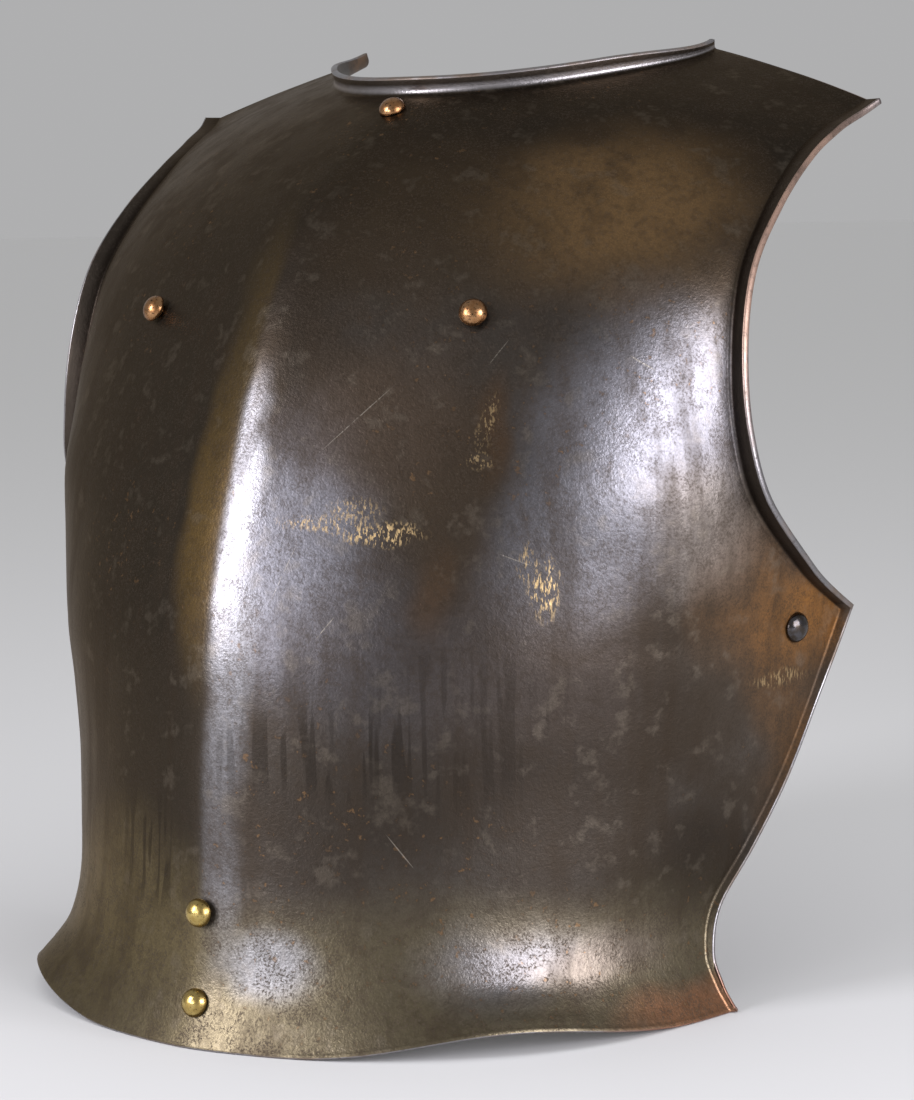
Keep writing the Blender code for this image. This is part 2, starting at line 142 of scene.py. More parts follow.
def body_column(name, station):
    """An edge column carried smoothly past the armpit's corner, for the body of the sections there."""
    low, high = ARMPIT - CORNER_SPAN, ARMPIT + CORNER_SPAN
    if not low < station < high:
        return column(name, station)
    start, end, step, span = column(name, low), column(name, high), 0.01, high - low
    slope_in = (start - column(name, low - step)) / step
    slope_out = (column(name, high + step) - end) / step
    return hermite(start, end, slope_in * span, slope_out * span, (station - low) / span)


def section_curve(station):
    names, sizes = ("edge_out", "edge_back", "edge_up"), np.array([HALF_WIDTH, DEPTH, HEIGHT])
    body = np.array([body_column(name, station) for name in names]) * sizes
    corner = np.array([column(name, station) for name in names]) * sizes - body
    centre = np.array([0.0, FRONT + column("centre_back", station) * DEPTH])
    edge = body[:2] + [0.0, FRONT]
    reach = np.linalg.norm(edge - centre) * column("full", station)
    keel, side = math.radians(column("keel", station)), math.radians(column("side", station))
    handle = centre + CENTRE_REACH * reach * np.array([math.cos(keel), math.sin(keel)])
    edge_handle = edge - EDGE_REACH * reach * np.array([math.cos(side), math.sin(side)])
    heights = (column("centre_up", station) * HEIGHT, body[2], column("crown", station) * HEIGHT)
    arch = RIM_ARCH * eased(1 - station / WAIST)
    return (centre, handle, edge_handle, edge), heights, arch, math.tan(keel), corner


def on_section(curve, t):
    """Points at shares t of a section, from the centre line at 0 to the edge at 1."""
    (a, b, c, d), (centre_up, edge_up, crown), arch, fall, corner = curve
    t = np.asarray(t, dtype=float)[..., None]
    s = 1 - t
    plan = a * s**3 + 3 * b * s * s * t + 3 * c * s * t * t + d * t**3
    t, s, x = t[..., 0], s[..., 0], plan[..., 0]
    y = plan[..., 1] + fall * (np.hypot(x, RIDGE_ROUNDING) - RIDGE_ROUNDING - x) * s * s
    along = np.clip((t - ARCH_START) / (ARCH_END - ARCH_START), 0, 1)
    z = centre_up * s + edge_up * t + 4 * crown * s * t + arch * np.sin(math.pi * along) ** 2
    return np.stack([x, y, z], -1) + corner * t[..., None] ** CORNER_GATHER


def plate_rows(station, shares):
    """Points and outward normals of the plate's middle surface along one section."""
    shares = np.asarray(shares, dtype=float)
    step = SLOPE_STEP
    curve = section_curve(station)
    across = on_section(curve, np.minimum(shares + step, 1)) - on_section(curve, np.maximum(shares - step, 0))
    near = np.clip(1 - shares / step, 0, 1)[:, None]
    across = across * (1 - near) + np.array([2 * step * CENTRE_RUN, 0, 0]) * near
    above, below = section_curve(min(station + step, TOP)), section_curve(max(station - step, 0))
    normal = np.cross(across, on_section(above, shares) - on_section(below, shares))
    return on_section(curve, shares), normal / np.linalg.norm(normal, axis=1, keepdims=True)


def search(low, high, short):
    """Value between low and high up to which short is true."""
    for _ in range(SEARCH_STEPS):
        middle = (low + high) / 2
        low, high = (middle, high) if short(middle) else (low, middle)
    return (low + high) / 2


def share_at_out(station, out):
    curve = section_curve(station)
    return search(0.0, 1.0, lambda t: on_section(curve, t)[0] < out)


def share_at_inset(station, inset):
    curve = section_curve(station)
    edge = on_section(curve, 1.0)
    return search(0.0, 1.0, lambda t: np.linalg.norm(edge - on_section(curve, t)) > inset)


def plate_place(up, share_at, distance):
    """Middle point and normal of the plate at a height."""
    station = search(0.0, float(TOP), lambda s: on_section(section_curve(s), share_at(s, distance))[2] < up)
    points, normals = plate_rows(station, [share_at(station, distance)])
    return points[0], normals[0]


def outward(points, normals, i, corner=None):
    """Direction across a boundary, in the plate's surface and away from it, mitred at a corner."""
    before = points[i] - points[max(i - 1, 0)]
    after = points[min(i + 1, len(points) - 1)] - points[i]

    def turned(tangent):
        direction = np.cross(tangent, normals[i] / np.linalg.norm(normals[i]))
        return direction / np.linalg.norm(direction)

    if i == corner:
        a, b = turned(before), turned(after)
        return (a + b) / (1 + np.dot(a, b))
    return turned(before + after)


def flange(point, normal, away, width, turn, radius):
    """Points and normals across a flange, round its bend and out to its edge."""
    turn = math.radians(turn)
    for step in range(1, BEND_STEPS + 1):
        a = turn * step / BEND_STEPS
        bent = point + radius * (math.sin(a) * away + (1 - math.cos(a)) * normal)
        yield bent, math.cos(a) * normal - math.sin(a) * away
    run = math.cos(turn) * away + math.sin(turn) * normal
    for step in range(1, FLANGE_STEPS + 1):
        yield bent + width * step / FLANGE_STEPS * run, math.cos(turn) * normal - math.sin(turn) * away


def edge_flange_form(station):
    if station <= ARMPIT:
        width = SIDE_FLANGE_WIDTH
        width += (ARMPIT_FLANGE_WIDTH - SIDE_FLANGE_WIDTH) * eased(station - ARMPIT + 1)
        width += (RIM_FLANGE_WIDTH - SIDE_FLANGE_WIDTH) * eased(1 - station / WAIST)
        return width, SIDE_FLANGE_TURN
    grow = eased((station - ARMPIT) / 2)
    width = ARMPIT_FLANGE_WIDTH + (ARM_FLANGE_WIDTH - ARMPIT_FLANGE_WIDTH) * grow
    turn = SIDE_FLANGE_TURN + (ARM_FLANGE_TURN - SIDE_FLANGE_TURN) * grow
    return width, turn + (SHOULDER_FLANGE_TURN - ARM_FLANGE_TURN) * eased((station - NECK + 4) / 4)


def half_grid():
    """Rows of (point, normal) over half of the plate, and how many neck samples start each row."""
    stations = [i / STEPS_PER_SECTION for i in range(NECK * STEPS_PER_SECTION)]
    firsts = [0.0] * len(stations)
    neck_row = len(stations)
    for k in range(NECK_STEPS + 1):
        angle = math.pi / 2 * k / NECK_STEPS
        station = NECK + (TOP - NECK) * (1 - math.cos(angle))
        stations.append(station)
        neck_out = NECK_HALF_WIDTH * math.sin(angle) ** NECK_SQUARENESS
        firsts.append(share_at_out(station, neck_out) if k else 0.0)
    base = (np.arange(STEPS_ACROSS + 1) / STEPS_ACROSS) ** COLUMN_SPACING
    table = [plate_rows(s, first + (1 - first) * base) for s, first in zip(stations, firsts)]
    flat = table[0][1] * [1, 1, 0]
    table[0] = (table[0][0], flat / np.sum(flat * flat, axis=1, keepdims=True))
    edge = [row[0][-1] for row in table], [row[1][-1] for row in table]
    neck = [row[0][0] for row in table[neck_row:]], [row[1][0] for row in table[neck_row:]]
    rows, starts = [], []
    for i, (points, normals) in enumerate(table):
        width, turn = edge_flange_form(stations[i])
        away = outward(*edge, i, corner=ARMPIT * STEPS_PER_SECTION)
        outer = list(flange(points[-1], normals[-1], away, width, turn, BEND_RADIUS))
        inner = []
        if i >= neck_row:
            k = i - neck_row
            inward = -outward(*neck, k) if k else np.cross([1.0, 0.0, 0.0], neck[1][0]) * -1
            left = 1 - (1 - NECK_END_TAPER) * eased(2 * k / NECK_STEPS - 1)
            inner_width, inner_radius = NECK_FLANGE_WIDTH * left, NECK_BEND_RADIUS * left
            inner = list(flange(points[0], normals[0], inward, inner_width, NECK_FLANGE_TURN, inner_radius))
            inner.reverse()
        rows.append(inner + list(zip(points, normals)) + outer)
        starts.append(len(inner))
    return rows, starts


def forged(point, side):
    """How far the hammer left the surface off its true form."""
    p = Vector((point[0] * side, point[1], point[2]))
    return sum(depth * noise.noise(p * fineness + Vector(offset)) for fineness, depth, offset in HAMMER_MARKS)


def unit(vector):
    return vector / max(np.linalg.norm(vector), 1e-9)


def add_half(bm, rows, starts, sign):
    """Outer face, rounded cut edge and inner face of one half, with materials 0, 1 and 2."""
    last = len(rows) - 1
    folds = bm.verts.layers.float.get("fold") or bm.verts.layers.float.new("fold")
    flange_steps = BEND_STEPS + FLANGE_STEPS

    def fold(i, j):
        """0 on the body of the plate, rising to 1 round a bend and to 2 across its flange."""
        steps = max(j - (len(grid[i]) - 1 - flange_steps), flange_steps - j if starts[i] else 0, 0)
        return min(steps / BEND_STEPS, 1.0) + max(steps - BEND_STEPS, 0) / FLANGE_STEPS

    grid = [[(p + n * forged(p, sign), n) for p, n in row] for row in rows]
    rim = []
    for j in range(len(grid[0])):
        rim.append((0, j))
    for i in range(1, last):
        rim.append((i, len(grid[i]) - 1))
    for j in range(len(grid[last]) - 1, -1, -1):
        rim.append((last, j))
    for i in range(last - 1, -1, -1):
        if starts[i]:
            rim.append((i, 0))
    rim.append((next(i for i in range(last) if starts[i]), starts[last]))
    rim = rim[:-1]

    def away(i, j):
        here = grid[i][j][0]
        total = np.zeros(3)
        if j == len(grid[i]) - 1:
            total += unit(here - grid[i][j - 1][0])
        if starts[i] and j == 0:
            total += unit(here - grid[i][1][0])
        if i == 0:
            total += unit((here - grid[1][j][0]) * [0.0, 0.0, 1.0])
        if i == last:
            total += unit(here - grid[i - 1][j][0])
        return unit(total)

    aways = {key: away(*key) for key in rim}
    layers = []
    for height in (WALL / 2, -WALL / 2):
        layer = []
        for i, row in enumerate(grid):
            verts = []
            for j, (p, n) in enumerate(row):
                at = p + n * height - aways.get((i, j), np.zeros(3)) * EDGE_ROUNDING
                vert = bm.verts.new((sign * at[0], at[1], at[2]))
                vert[folds] = fold(i, j)
                verts.append(vert)
            layer.append(verts)
        layers.append(layer)
    outer, inner = layers

    def face(verts, slot):
        made = bm.faces.new(verts if sign > 0 else verts[::-1])
        made.material_index = slot
        made.smooth = True

    for i in range(last):
        shift = starts[i + 1] - starts[i]
        for j in range(len(grid[i]) - 1):
            k = j + shift
            face([outer[i][j], outer[i][j + 1], outer[i + 1][k + 1], outer[i + 1][k]], 0)
            face([inner[i + 1][k], inner[i + 1][k + 1], inner[i][j + 1], inner[i][j]], 2)

    loops = []
    for step in range(EDGE_STEPS + 1):
        angle = math.pi / 2 - math.pi * step / EDGE_STEPS
        up = math.copysign(abs(math.sin(angle)) ** EDGE_SQUARENESS, math.sin(angle)) * WALL / 2
        out = abs(math.cos(angle)) ** EDGE_SQUARENESS * EDGE_ROUNDING - EDGE_ROUNDING
        loop = []
        for key in rim:
            i, j = key
            if step == 0:
                loop.append(outer[i][j])
            elif step == EDGE_STEPS:
                loop.append(inner[i][j])
            else:
                at = grid[i][j][0] + grid[i][j][1] * up + aways[key] * out
                loop.append(bm.verts.new((sign * at[0], at[1], at[2])))
        loops.append(loop)
    for upper, lower in zip(loops, loops[1:]):
        for a in range(len(rim) - 1):
            face([upper[a + 1], upper[a], lower[a], lower[a + 1]], 1)


def make_plate(finishes):
    bm = bmesh.new()
    rows, starts = half_grid()
    add_half(bm, rows, starts, 1)
    add_half(bm, rows, starts, -1)
    bmesh.ops.remove_doubles(bm, verts=bm.verts, dist=MERGE_DISTANCE)
    mesh = bpy.data.meshes.new("forged_plate")
    bm.to_mesh(mesh)
    bm.free()
    for finish in finishes:
        mesh.materials.append(finish)
    obj = bpy.data.objects.new("forged_plate", mesh)
    bpy.context.scene.collection.objects.link(obj)
    return obj


# Studs


def stud_profile(head, standoff):
    """Radius and height pairs, inside to outside, with small rounded edges."""
    shank, tail, radius = SHANK_DIAMETER / 2, TAIL_DIAMETER / 2, head[0] / 2
    seat = WALL / 2 + CLEARANCE
    base = seat + standoff
    soft = STUD_SOFTNESS
    profile = [(0, -seat - TAIL_HEIGHT)]
    for k in range(TAIL_STEPS + 1):
        a = math.radians(90 * k / TAIL_STEPS)
        out, down = tail * (0.55 + 0.45 * math.sin(a)), TAIL_HEIGHT * (0.25 + 0.75 * math.cos(a))
        profile.append((out, -seat - down))
    profile += [(tail, -seat), (shank, -seat), (shank, seat)]
    if standoff:
        profile += [(COLLAR_SHARE * shank, seat), (COLLAR_SHARE * shank, base)]
    profile += [(radius - soft, base), (radius - 0.3 * soft, base + 0.3 * soft)]
    for k in range(CROWN_STEPS):
        a = math.radians(6 + 84 * k / CROWN_STEPS)
        profile.append((radius * math.cos(a), base + head[1] * math.sin(a)))
    profile.append((0, base + head[1]))
    return profile


def make_stud(name, node, place, head, standoff, finish, side=1, seed=0):
    """One stud, turned to the plate's normal and slightly uneven from hand work."""
    bm = bmesh.new()
    rings = []
    for radius, height in stud_profile(head, standoff):
        if radius == 0:
            rings.append([bm.verts.new((0, 0, height))])
            continue
        ring = []
        for k in range(STUD_SIDES):
            a = 2 * math.pi * k / STUD_SIDES
            p = Vector((radius * math.cos(a), radius * math.sin(a), height))
            off = 1 + STUD_UNEVENNESS * noise.noise(p * 260 + Vector((seed * 5.3, 2, 1)))
            ring.append(bm.verts.new((p.x * off, p.y * off, p.z)))
        rings.append(ring)
    for lower, upper in zip(rings, rings[1:]):
        for k in range(STUD_SIDES):
            m = (k + 1) % STUD_SIDES
            if len(lower) == 1:
                made = bm.faces.new((lower[0], upper[m], upper[k]))
            elif len(upper) == 1:
                made = bm.faces.new((lower[k], lower[m], upper[0]))
            else:
                made = bm.faces.new((lower[k], lower[m], upper[m], upper[k]))
            made.smooth = True
    mesh = bpy.data.meshes.new(name)
    point, normal = place
    lift = forged(point, side)
    flip = np.array([side, 1.0, 1.0])
    turn = Vector(normal * flip).to_track_quat("Z", "Y").to_matrix().to_4x4()
    bm.transform(Matrix.Translation(Vector((point + normal * lift) * flip)) @ turn)
    bm.to_mesh(mesh)
    bm.free()
    mesh.set_sharp_from_angle(angle=math.radians(50))
    mesh.materials.append(finish)
    obj = bpy.data.objects.new(name, mesh)
    bpy.context.scene.collection.objects.link(obj)
    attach(obj, "root")
    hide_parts(node)
    return obj


# Materials


class Finish:
    """A Principled material with short names for the nodes that it needs."""

    def __init__(self, name):
        self.material = bpy.data.materials.new(name)
        self.material.use_nodes = True
        self.tree = self.material.node_tree
        self.shader = self.tree.nodes["Principled BSDF"]
        self.place = self.node("ShaderNodeTexCoord").outputs["Object"]

    def node(self, kind, **settings):
        made = self.tree.nodes.new(kind)
        for name, value in settings.items():
            setattr(made, name, value)
        return made

    def feed(self, socket, value):
        if isinstance(value, bpy.types.NodeSocket):
            self.tree.links.new(value, socket)
        elif isinstance(value, (tuple, list)) and len(value) == 3 and socket.type == "RGBA":
            socket.default_value = (*value, 1.0)
        else:
            socket.default_value = value

    def set(self, name, value):
        self.feed(self.shader.inputs[name], value)

    def math(self, operation, a, b=0.0):
        made = self.node("ShaderNodeMath", operation=operation)
        self.feed(made.inputs[0], a)
        self.feed(made.inputs[1], b)
        return made.outputs[0]

    def span(self, value, low, high, to_low=0.0, to_high=1.0):
        made = self.node("ShaderNodeMapRange", interpolation_type="SMOOTHSTEP")
        for k, item in enumerate((value, low, high, to_low, to_high)):
            self.feed(made.inputs[k], item)
        return made.outputs[0]

    def mix(self, share, a, b):
        """Colour a where share is 0, and colour b where it is 1."""
        made = self.node("ShaderNodeMix", data_type="RGBA")
        self.feed(made.inputs[0], share)
        self.feed(made.inputs[6], a)
        self.feed(made.inputs[7], b)
        return made.outputs[2]

    def blend(self, share, a, b):
        """Number a where share is 0, and number b where it is 1."""
        made = self.node("ShaderNodeMix", data_type="FLOAT")
        self.feed(made.inputs[0], share)
        self.feed(made.inputs[2], a)
        self.feed(made.inputs[3], b)
        return made.outputs[0]

    def shifted(self, place, move=(0, 0, 0), scale=(1, 1, 1), turn=(0, 0, 0), kind="TEXTURE"):
        made = self.node("ShaderNodeMapping", vector_type=kind)
        self.feed(made.inputs[0], place)
        made.inputs[1].default_value = move
        made.inputs[2].default_value = [math.radians(a) for a in turn]
        made.inputs[3].default_value = scale
        return made.outputs[0]

    def noise(self, scale, detail=3.0, rough=0.55, stretch=(1, 1, 1), place=None, colour=False):
        made = self.node("ShaderNodeTexNoise")
        source = self.place if place is None else place
        if stretch != (1, 1, 1):
            source = self.shifted(source, scale=stretch, kind="POINT")
        self.feed(made.inputs["Vector"], source)
        made.inputs["Scale"].default_value = scale
        made.inputs["Detail"].default_value = detail
        made.inputs["Roughness"].default_value = rough
        return made.outputs["Color" if colour else "Fac"]

    def cells(self, scale, place=None):
        made = self.node("ShaderNodeTexVoronoi")
        self.feed(made.inputs["Vector"], self.place if place is None else place)
        made.inputs["Scale"].default_value = scale
        return made.outputs["Distance"]

    def wavering(self, amount, scale):
        """The place, pushed about by noise, so that a patch gets a ragged outline."""
        push = self.node("ShaderNodeVectorMath", operation="SUBTRACT")
        self.feed(push.inputs[0], self.noise(scale, 2.0, 0.6, colour=True))
        push.inputs[1].default_value = (0.5, 0.5, 0.5)
        sized = self.node("ShaderNodeVectorMath", operation="SCALE")
        self.feed(sized.inputs[0], push.outputs[0])
        sized.inputs["Scale"].default_value = amount
        added = self.node("ShaderNodeVectorMath", operation="ADD")
        self.feed(added.inputs[0], self.place)
        self.feed(added.inputs[1], sized.outputs[0])
        return added.outputs[0]

    def patch(self, place, centre, radii, soft=0.5, turn=(0, 0, 0)):
        """1 inside an ellipsoid and 0 outside, over a soft border."""
        length = self.node("ShaderNodeVectorMath", operation="LENGTH")
        self.feed(length.inputs[0], self.shifted(place, centre, radii, turn))
        return self.span(length.outputs["Value"], 1 + soft, 1 - soft)

    def most(self, masks):
        """The highest of several masks at each point."""
        return reduce(lambda a, b: self.math("MAXIMUM", a, b), masks)

    def bump(self, height, strength, distance, normal=None):
        made = self.node("ShaderNodeBump")
        made.inputs["Strength"].default_value = strength
        made.inputs["Distance"].default_value = distance
        self.feed(made.inputs["Height"], height)
        if normal is not None:
            self.feed(made.inputs["Normal"], normal)
        return made.outputs[0]


# Patches of the plate's patina, with painted highlights and painted shade among them: colour, share, centre,
# radii and softness
PATINA_AND_PAINTED_LIGHT = (
    # the next four pale patches beside the ridge: grey steel, lightened as painted highlight
    ((0.150, 0.146, 0.158), 0.80, (0.040, -0.114, 0.175), (0.034, 0.060, 0.028), 0.6),
    ((0.200, 0.198, 0.222), 0.85, (0.034, -0.110, 0.215), (0.028, 0.060, 0.052), 0.5),
    ((0.230, 0.228, 0.240), 0.75, (0.008, -0.120, 0.130), (0.010, 0.060, 0.080), 0.6),
    ((0.400, 0.396, 0.425), 0.90, (0.004, -0.108, 0.234), (0.009, 0.060, 0.040), 0.6),
    ((0.092, 0.084, 0.086), 0.75, (0.076, -0.098, 0.165), (0.046, 0.060, 0.040), 0.6),
    ((0.088, 0.072, 0.064), 0.60, (0.120, -0.060, 0.165), (0.045, 0.060, 0.050), 0.6),
    # the next three pale patches towards the arm: grey steel, lightened as painted highlight
    ((0.150, 0.147, 0.160), 0.85, (0.135, -0.045, 0.222), (0.036, 0.060, 0.042), 0.5),
    ((0.262, 0.258, 0.286), 0.90, (0.154, -0.016, 0.262), (0.030, 0.050, 0.040), 0.7),
    ((0.230, 0.200, 0.178), 0.80, (0.172, -0.006, 0.212), (0.013, 0.050, 0.022), 0.6),
    ((0.275, 0.166, 0.074), 0.90, (0.122, 0.012, 0.350), (0.048, 0.060, 0.036), 0.6),
    ((0.090, 0.062, 0.036), 0.60, (0.055, -0.020, 0.345), (0.050, 0.060, 0.036), 0.6),
    ((0.060, 0.044, 0.030), 0.90, (0.092, -0.076, 0.228), (0.017, 0.050, 0.044), 0.5),
    ((0.110, 0.062, 0.032), 0.65, (0.101, -0.064, 0.258), (0.006, 0.050, 0.018), 0.7),
    ((0.105, 0.062, 0.034), 0.60, (0.089, -0.090, 0.190), (0.007, 0.050, 0.016), 0.7),
    ((0.105, 0.074, 0.052), 0.70, (0.060, -0.080, 0.262), (0.032, 0.050, 0.028), 0.6),
    ((0.330, 0.140, 0.030), 0.95, (0.188, 0.056, 0.172), (0.011, 0.045, 0.020), 0.7),
    ((0.150, 0.080, 0.036), 0.60, (0.181, 0.036, 0.185), (0.012, 0.045, 0.030), 0.7),
    ((0.130, 0.066, 0.026), 0.80, (0.183, 0.050, 0.100), (0.008, 0.045, 0.062), 0.7),
    # the next three dark patches: partly dark patina, partly painted shade
    ((0.034, 0.027, 0.021), 0.75, (0.160, 0.010, 0.066), (0.014, 0.040, 0.024), 0.7),
    ((0.045, 0.036, 0.029), 0.75, (0.120, -0.060, 0.112), (0.040, 0.050, 0.022), 0.7),
    ((0.050, 0.040, 0.032), 0.75, (0.060, -0.105, 0.098), (0.070, 0.060, 0.022), 0.7),
    # the next three pale patches on the skirt: painted highlight
    ((0.300, 0.296, 0.305), 0.85, (0.032, -0.131, 0.036), (0.020, 0.060, 0.014), 0.6),
    ((0.178, 0.172, 0.182), 0.85, (0.120, -0.074, 0.036), (0.026, 0.060, 0.014), 0.7),
    ((0.185, 0.150, 0.122), 0.80, (0.142, -0.038, 0.033), (0.013, 0.050, 0.013), 0.7),
    ((0.300, 0.150, 0.080), 0.95, (0.168, -0.002, 0.005), (0.030, 0.045, 0.010), 0.6),
)
# Patches on the wearer's right of the ridge alone, with the same columns
OCHRES = (
    ((0.200, 0.126, 0.044), 0.90, (-0.012, -0.105, 0.225), (0.013, 0.050, 0.060), 0.5),
    ((0.120, 0.082, 0.036), 0.80, (-0.010, -0.090, 0.300), (0.012, 0.050, 0.060), 0.6),
    ((0.180, 0.140, 0.070), 0.80, (-0.050, -0.115, 0.050), (0.075, 0.070, 0.034), 0.6),
)
# Rubbed-through spots: centre, radii and share
WEAR = (
    ((0.046, -0.098, 0.2205), (0.018, 0.03, 0.0032), 0.60),
    ((0.067, -0.090, 0.2165), (0.014, 0.03, 0.0040), 1.00),
    ((0.056, -0.095, 0.2260), (0.010, 0.03, 0.0040), 0.50),
    ((0.127, -0.058, 0.1930), (0.0040, 0.02, 0.0110), 1.00),
    ((0.121, -0.058, 0.2030), (0.0030, 0.02, 0.0070), 0.70),
    ((0.100, -0.065, 0.2460), (0.0040, 0.02, 0.0040), 0.45),
    ((0.182, 0.046, 0.1440), (0.0070, 0.02, 0.0030), 0.40),
    ((0.100, -0.064, 0.2620), (0.0030, 0.02, 0.0100), 0.35),
)
# Scratches: centre, half length, lean in degrees and half width
SCRATCHES = (
    ((0.048, -0.079, 0.2630), 0.0170, 49, 0.00022),
    ((0.150, -0.014, 0.2845), 0.0052, -35, 0.00030),
    ((0.098, -0.040, 0.2900), 0.0050, 62, 0.00022),
    ((0.080, -0.103, 0.0840), 0.0080, -55, 0.00022),
    ((0.050, -0.107, 0.1780), 0.0050, 55, 0.00025),
    ((0.117, -0.060, 0.2050), 0.0060, -25, 0.00022),
    ((0.030, -0.110, 0.2000), 0.0120, 72, 0.00012),
)
# Runs of dirt: centre, radii and share
DRIPS = (
    ((-0.036, -0.122, 0.078), (0.020, 0.03, 0.022), 0.60),
    ((0.045, -0.110, 0.125), (0.040, 0.05, 0.016), 0.60),
    ((0.100, -0.085, 0.132), (0.045, 0.05, 0.030), 0.35),
)


def make_plate_finish():
    """Outside of the plate: polished steel under an old brown-black patina, with painted highlights and
    painted shade in its colour.
    """
    f = Finish("patinated_plate")
    rough_place = f.wavering(0.030, 16)
    fine_place = f.wavering(0.008, 60)
    split = f.node("ShaderNodeSeparateXYZ")
    f.feed(split.inputs[0], rough_place)
    up = split.outputs[2]
    true_split = f.node("ShaderNodeSeparateXYZ")
    f.feed(true_split.inputs[0], f.place)
    true_out = true_split.outputs[0]

    clouds = f.noise(9, 3.0, 0.6)
    streaks = f.noise(60, 3.0, 0.6, stretch=(1, 1, 0.12))
    mottle = f.noise(75, 3.0, 0.65)
    fine = f.noise(300, 2.0, 0.65)
    grain = f.noise(1000, 2.0, 0.7)

    colour = f.mix(f.span(clouds, 0.35, 0.68), (0.050, 0.038, 0.028), (0.082, 0.070, 0.060))
    colour = f.mix(f.span(up, 0.300, 0.375), colour, (0.030, 0.024, 0.018))
    skirt = f.span(up, 0.075, 0.040)
    colour = f.mix(f.math("MULTIPLY", skirt, 0.75), colour, (0.175, 0.145, 0.088))
    # patina patches, some of them painted highlights and painted shade
    for tone, share, centre, radii, soft in PATINA_AND_PAINTED_LIGHT:
        mask = f.math("MULTIPLY", f.patch(rough_place, centre, radii, soft), share)
        colour = f.mix(mask, colour, tone)

    # right of the ridge, as the wearer stands, the steel is browner and mostly darker, with a crisp border
    # along the ridge: partly brown patina, partly painted shade
    right_side_patina_and_shade = f.span(true_out, 0.002, -0.005, 0.0, 0.88)
    # brown patina and painted shade on the wearer's right of the ridge
    colour = f.mix(right_side_patina_and_shade, colour, f.mix(skirt, (0.042, 0.034, 0.025), (0.150, 0.122, 0.072)))
    for tone, share, centre, radii, soft in OCHRES:
        spot = f.patch(rough_place, centre, radii, soft)
        mask = f.math("MULTIPLY", spot, f.math("MULTIPLY", right_side_patina_and_shade, share))
        colour = f.mix(mask, colour, tone)

    colour = f.mix(f.span(streaks, 0.44, 0.68, 0.0, 0.45), colour, (0.036, 0.025, 0.016))
    colour = f.mix(f.span(mottle, 0.46, 0.68, 0.0, 0.26), colour, (0.042, 0.030, 0.020))
    colour = f.mix(f.span(mottle, 0.46, 0.30, 0.0, 0.30), colour, (0.180, 0.150, 0.116))
    colour = f.mix(f.span(fine, 0.46, 0.66, 0.0, 0.20), colour, (0.040, 0.030, 0.022))

    # pits: fine, dark and rough, most of them on the skirt
    pits = f.math("MULTIPLY", f.span(grain, 0.51, 0.58), f.span(mottle, 0.42, 0.56))
    amount = f.math("ADD", f.math("MULTIPLY", skirt, 0.35), 0.28)
    pits = f.math("MULTIPLY", pits, amount)
    colour = f.mix(pits, colour, (0.040, 0.028, 0.018))

    # rust specks near the edges and all over, sparsely
    specks = f.math("MULTIPLY", f.span(fine, 0.64, 0.72), f.span(clouds, 0.48, 0.62))
    colour = f.mix(f.math("MULTIPLY", specks, 0.6), colour, (0.210, 0.120, 0.056))

    # rubbed-through spots and scratches that show bright metal
    glints = f.span(f.noise(850, 2.0, 0.7, stretch=(1, 1, 0.25)), 0.52, 0.60)
    spots = (
        f.math("MULTIPLY", f.patch(fine_place, centre, radii, 0.5), share)
        for centre, radii, share in WEAR
    )
    wear = f.math("MULTIPLY", f.most(spots), glints)
    colour = f.mix(wear, colour, (0.620, 0.440, 0.220))

    lines = (
        f.patch(f.place, centre, (length, 0.03, width), 0.3, turn=(0, -lean, 0))
        for centre, length, lean, width in SCRATCHES
    )
    scratch = f.math("MULTIPLY", f.most(lines), f.span(fine, 0.35, 0.5))
    colour = f.mix(f.math("MULTIPLY", scratch, 0.5), colour, (0.400, 0.360, 0.300))

    # dirt drawn down in drips, at the waist stud and under the middle
    drips = f.span(f.noise(230, 1.0, 0.5, stretch=(1, 1, 0.05)), 0.50, 0.58)
    for centre, radii, share in DRIPS:
        mask = f.math("MULTIPLY", f.patch(rough_place, centre, radii, 0.5), share)
        colour = f.mix(f.math("MULTIPLY", drips, mask), colour, (0.024, 0.019, 0.015))
    colour = f.mix(f.span(grain, 0.3, 0.7, 0.0, 0.30), colour, (0.028, 0.023, 0.019))

    # the turned flanges are darkened as painted shade: the neck's on its upper part, the arms' in the bend; a
    # pale band round the neck's bend is a painted highlight
    fold = f.node("ShaderNodeAttribute", attribute_name="fold").outputs["Fac"]
    neck = f.span(f.math("ABSOLUTE", true_out), 0.140, 0.120)
    low_side = f.span(up, 0.175, 0.150)
    bend = f.math("MULTIPLY", f.span(f.math("ABSOLUTE", f.math("SUBTRACT", fold, 0.90)), 0.55, 0.10), neck)
    # painted shade on the flanges, less of it low on the sides
    scale = f.blend(neck, f.span(fold, 0.35, 0.80), f.span(fold, 1.20, 1.60))
    scale = f.math("MULTIPLY", scale, f.blend(low_side, 0.85, 0.10))
    colour = f.mix(scale, colour, f.mix(f.span(fold, 1.0, 1.6), (0.014, 0.010, 0.008), (0.052, 0.042, 0.034)))
    # painted highlight: a pale band round the neck flange's bend
    colour = f.mix(f.math("MULTIPLY", bend, 0.80), colour, (0.300, 0.285, 0.290))

    f.set("Base Color", colour)
    f.set("Specular Tint", (0.80, 0.70, 0.60))
    rust = f.patch(rough_place, (0.182, 0.045, 0.150), (0.022, 0.055, 0.090), 0.5)
    f.set("Metallic", f.blend(f.math("MAXIMUM", f.math("MULTIPLY", rust, 0.5), pits), 0.96, 0.45))
    roughness = f.span(clouds, 0.3, 0.7, 0.38, 0.32)
    roughness = f.blend(f.span(streaks, 0.4, 0.7), roughness, 0.45)
    roughness = f.blend(f.math("MULTIPLY", bend, 0.6), roughness, 0.26)
    roughness = f.blend(f.math("MAXIMUM", pits, f.math("MULTIPLY", rust, 0.6)), roughness, 0.60)
    f.set("Roughness", roughness)
    f.set("Normal", f.bump(f.noise(650, 2.0, 0.75), 0.34, 0.0004))
    return f.material


